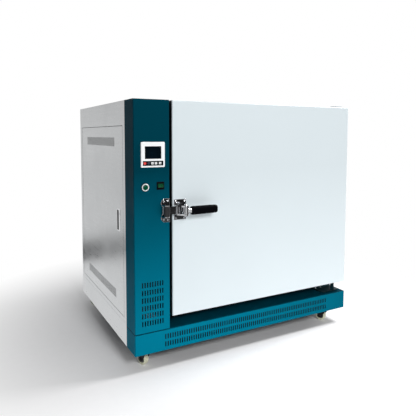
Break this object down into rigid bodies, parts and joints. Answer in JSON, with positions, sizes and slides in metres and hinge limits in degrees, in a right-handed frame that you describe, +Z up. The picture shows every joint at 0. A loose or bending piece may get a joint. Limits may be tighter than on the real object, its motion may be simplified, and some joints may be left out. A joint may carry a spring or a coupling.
{
  "type": "laboratory drying oven",
  "caption": "Forced-air laboratory drying oven on casters: pale insulated door with a lever latch, teal control column and plinth, stainless casing.",
  "frame": {"origin": "centre of the overall box on the floor plane, under the casters' treads", "axes": "+X to the right seen from the door, +Y from the door to the back, +Z up"},
  "size_m": [1.0815, 0.9556, 1.055],
  "materials": {
    "teal_paint": "satin",
    "door_paint": "satin",
    "chassis_paint": "matte",
    "stainless": "brushed",
    "zinc_steel": "satin",
    "chrome": "polished",
    "dark_steel": "satin",
    "black_plastic": "matte",
    "white_plastic": "satin",
    "gloss_black": "gloss",
    "green_plastic": "gloss",
    "red_plastic": "gloss",
    "key_white": "satin",
    "key_dark": "satin",
    "rubber": "matte",
    "silicone": "matte",
    "mineral_wool": "matte",
    "ivory_nylon": "satin",
    "grey_nylon": "satin",
    "motor_aluminium": "satin",
    "relay_plastic": "matte",
    "terminal_plastic": "matte"
  },
  "bodies": {
    "cabinet": {"base_frame": "chassis_paint", "caster_plates": "chassis_paint", "plinth_cover": "teal_paint", "column_cover": "teal_paint", "side_frame": "stainless", "right_panel": "stainless", "top_panel": "stainless", "rear_panel": "stainless", "front_frame": "chassis_paint", "partition_panel": "zinc_steel", "chamber_insulation": "mineral_wool", "chamber_liner": "stainless", "duct_plate": "stainless", "shelf_racks": "stainless", "fan_motor": "motor_aluminium", "heater_elements": "dark_steel", "temperature_probe": "stainless", "power_relay": "relay_plastic", "terminal_block": "terminal_plastic", "controller_housing": "white_plastic", "controller_fascia": "gloss_black", "pushbutton_ring": "chrome", "switch_bezel": "black_plastic", "door_hinge_brackets": "zinc_steel", "strike_bracket": "chrome", "exhaust_spigot": "stainless", "cable_gland": "black_plastic"},
    "door": {"door_skin": "door_paint", "door_hinge_blocks": "zinc_steel", "door_insulation": "mineral_wool", "door_liner": "stainless", "door_gasket": "silicone", "latch_body": "chrome"},
    "latch_lever": {"latch_lever": "chrome", "latch_grip": "rubber"},
    "latch_bolt": {"latch_bolt": "chrome"},
    "strike_roller": {"strike_roller": "grey_nylon"},
    "side_door": {"side_door": "stainless", "side_door_pins": "zinc_steel", "lock_cup": "chrome"},
    "lock_cylinder": {"lock_cylinder": "chrome"},
    "pushbutton": {"pushbutton_cap": "green_plastic"},
    "switch_rocker": {"switch_rocker": "green_plastic"},
    "fan": {"fan_impeller": "stainless"},
    "shelf_1": {"shelf_1": "stainless"},
    "shelf_2": {"shelf_2": "stainless"},
    "exhaust_damper": {"exhaust_damper": "stainless"},
    "key_power": {"key_power": "red_plastic"},
    "key_program": {"key_program": "key_dark"},
    "key_shift": {"key_shift": "key_white"},
    "key_lower": {"key_lower": "key_white"},
    "key_raise": {"key_raise": "key_white"},
    "fork_front_left": {"caster_fork_front_left": "chassis_paint"},
    "wheel_front_left": {"caster_wheel_front_left": "ivory_nylon"},
    "fork_front_right": {"caster_fork_front_right": "chassis_paint"},
    "wheel_front_right": {"caster_wheel_front_right": "ivory_nylon"},
    "fork_rear_left": {"caster_fork_rear_left": "chassis_paint"},
    "wheel_rear_left": {"caster_wheel_rear_left": "ivory_nylon"},
    "fork_rear_right": {"caster_fork_rear_right": "chassis_paint"},
    "wheel_rear_right": {"caster_wheel_rear_right": "ivory_nylon"}
  },
  "joints": [
    {"name": "door_hinge", "type": "hinge", "parent": "cabinet", "child": "door", "pos_m": [0.502, -0.37125, 0.201], "axis": [0, 0, 1], "range_deg": [0, 110]},
    {"name": "lever_hinge", "type": "hinge", "parent": "door", "child": "latch_lever", "pos_m": [-0.344, -0.45825, 0.626], "axis": [0, 0, -1], "range_deg": [0, 30], "stiffness_Nm_per_rad": 2},
    {"name": "bolt_slide", "type": "slide", "parent": "door", "child": "latch_bolt", "axis": [1, 0, 0], "range_m": [0, 0.0162]},
    {"name": "strike_roller_spin", "type": "hinge", "parent": "cabinet", "child": "strike_roller", "pos_m": [-0.419, -0.44555, 0.626], "axis": [0, 0, 1], "continuous": true},
    {"name": "side_door_hinge", "type": "hinge", "parent": "cabinet", "child": "side_door", "pos_m": [-0.534, 0.37525, 0.18], "axis": [0, 0, -1], "range_deg": [0, 105]},
    {"name": "lock_turn", "type": "hinge", "parent": "side_door", "child": "lock_cylinder", "pos_m": [-0.54, -0.24125, 0.5965], "axis": [1, 0, 0], "range_deg": [0, 90]},
    {"name": "pushbutton_press", "type": "slide", "parent": "cabinet", "child": "pushbutton", "axis": [0, 1, 0], "range_m": [0, 0.004], "stiffness_N_per_m": 600},
    {"name": "key_power_press", "type": "slide", "parent": "cabinet", "child": "key_power", "axis": [0, 1, 0], "range_m": [0, 0.0008], "stiffness_N_per_m": 900},
    {"name": "key_program_press", "type": "slide", "parent": "cabinet", "child": "key_program", "axis": [0, 1, 0], "range_m": [0, 0.0008], "stiffness_N_per_m": 900},
    {"name": "key_shift_press", "type": "slide", "parent": "cabinet", "child": "key_shift", "axis": [0, 1, 0], "range_m": [0, 0.0008], "stiffness_N_per_m": 900},
    {"name": "key_lower_press", "type": "slide", "parent": "cabinet", "child": "key_lower", "axis": [0, 1, 0], "range_m": [0, 0.0008], "stiffness_N_per_m": 900},
    {"name": "key_raise_press", "type": "slide", "parent": "cabinet", "child": "key_raise", "axis": [0, 1, 0], "range_m": [0, 0.0008], "stiffness_N_per_m": 900},
    {"name": "rocker_tilt", "type": "hinge", "parent": "cabinet", "child": "switch_rocker", "pos_m": [-0.433, -0.41475, 0.7226], "axis": [1, 0, 0], "range_deg": [0, 14]},
    {"name": "fan_spin", "type": "hinge", "parent": "cabinet", "child": "fan", "pos_m": [-0.3263, 0.01375, 0.63], "axis": [1, 0, 0], "continuous": true},
    {"name": "shelf_1_slide", "type": "slide", "parent": "cabinet", "child": "shelf_1", "axis": [0, -1, 0], "range_m": [0, 0.028]},
    {"name": "shelf_2_slide", "type": "slide", "parent": "cabinet", "child": "shelf_2", "axis": [0, -1, 0], "range_m": [0, 0.028]},
    {"name": "damper_turn", "type": "hinge", "parent": "cabinet", "child": "exhaust_damper", "pos_m": [0.31, 0.43775, 0.92], "axis": [1, 0, 0], "range_deg": [0, 90]},
    {"name": "swivel_front_left", "type": "hinge", "parent": "cabinet", "child": "fork_front_left", "pos_m": [-0.478, -0.37025, 0.063], "axis": [0, 0, 1], "continuous": true},
    {"name": "swivel_front_right", "type": "hinge", "parent": "cabinet", "child": "fork_front_right", "pos_m": [0.46, -0.37025, 0.063], "axis": [0, 0, 1], "continuous": true},
    {"name": "swivel_rear_left", "type": "hinge", "parent": "cabinet", "child": "fork_rear_left", "pos_m": [-0.478, 0.35975, 0.063], "axis": [0, 0, 1], "continuous": true},
    {"name": "swivel_rear_right", "type": "hinge", "parent": "cabinet", "child": "fork_rear_right", "pos_m": [0.46, 0.35975, 0.063], "axis": [0, 0, 1], "continuous": true},
    {"name": "roll_front_left", "type": "hinge", "parent": "fork_front_left", "child": "wheel_front_left", "pos_m": [-0.48443, -0.34921, 0.025], "axis": [0.9563, 0.2924, 0], "continuous": true},
    {"name": "roll_front_right", "type": "hinge", "parent": "fork_front_right", "child": "wheel_front_right", "pos_m": [0.45248, -0.34958, 0.025], "axis": [0.9397, 0.342, 0], "continuous": true},
    {"name": "roll_rear_left", "type": "hinge", "parent": "fork_rear_left", "child": "wheel_rear_left", "pos_m": [-0.48966, 0.37841, 0.025], "axis": [0.848, 0.5299, 0], "continuous": true},
    {"name": "roll_rear_right", "type": "hinge", "parent": "fork_rear_right", "child": "wheel_rear_right", "pos_m": [0.45618, 0.38142, 0.025], "axis": [0.9848, 0.1736, 0], "continuous": true}
  ],
  "couplings": [
    {"joint": "bolt_slide", "follows": "lever_hinge", "m_per_rad": 0.030558}
  ]
}
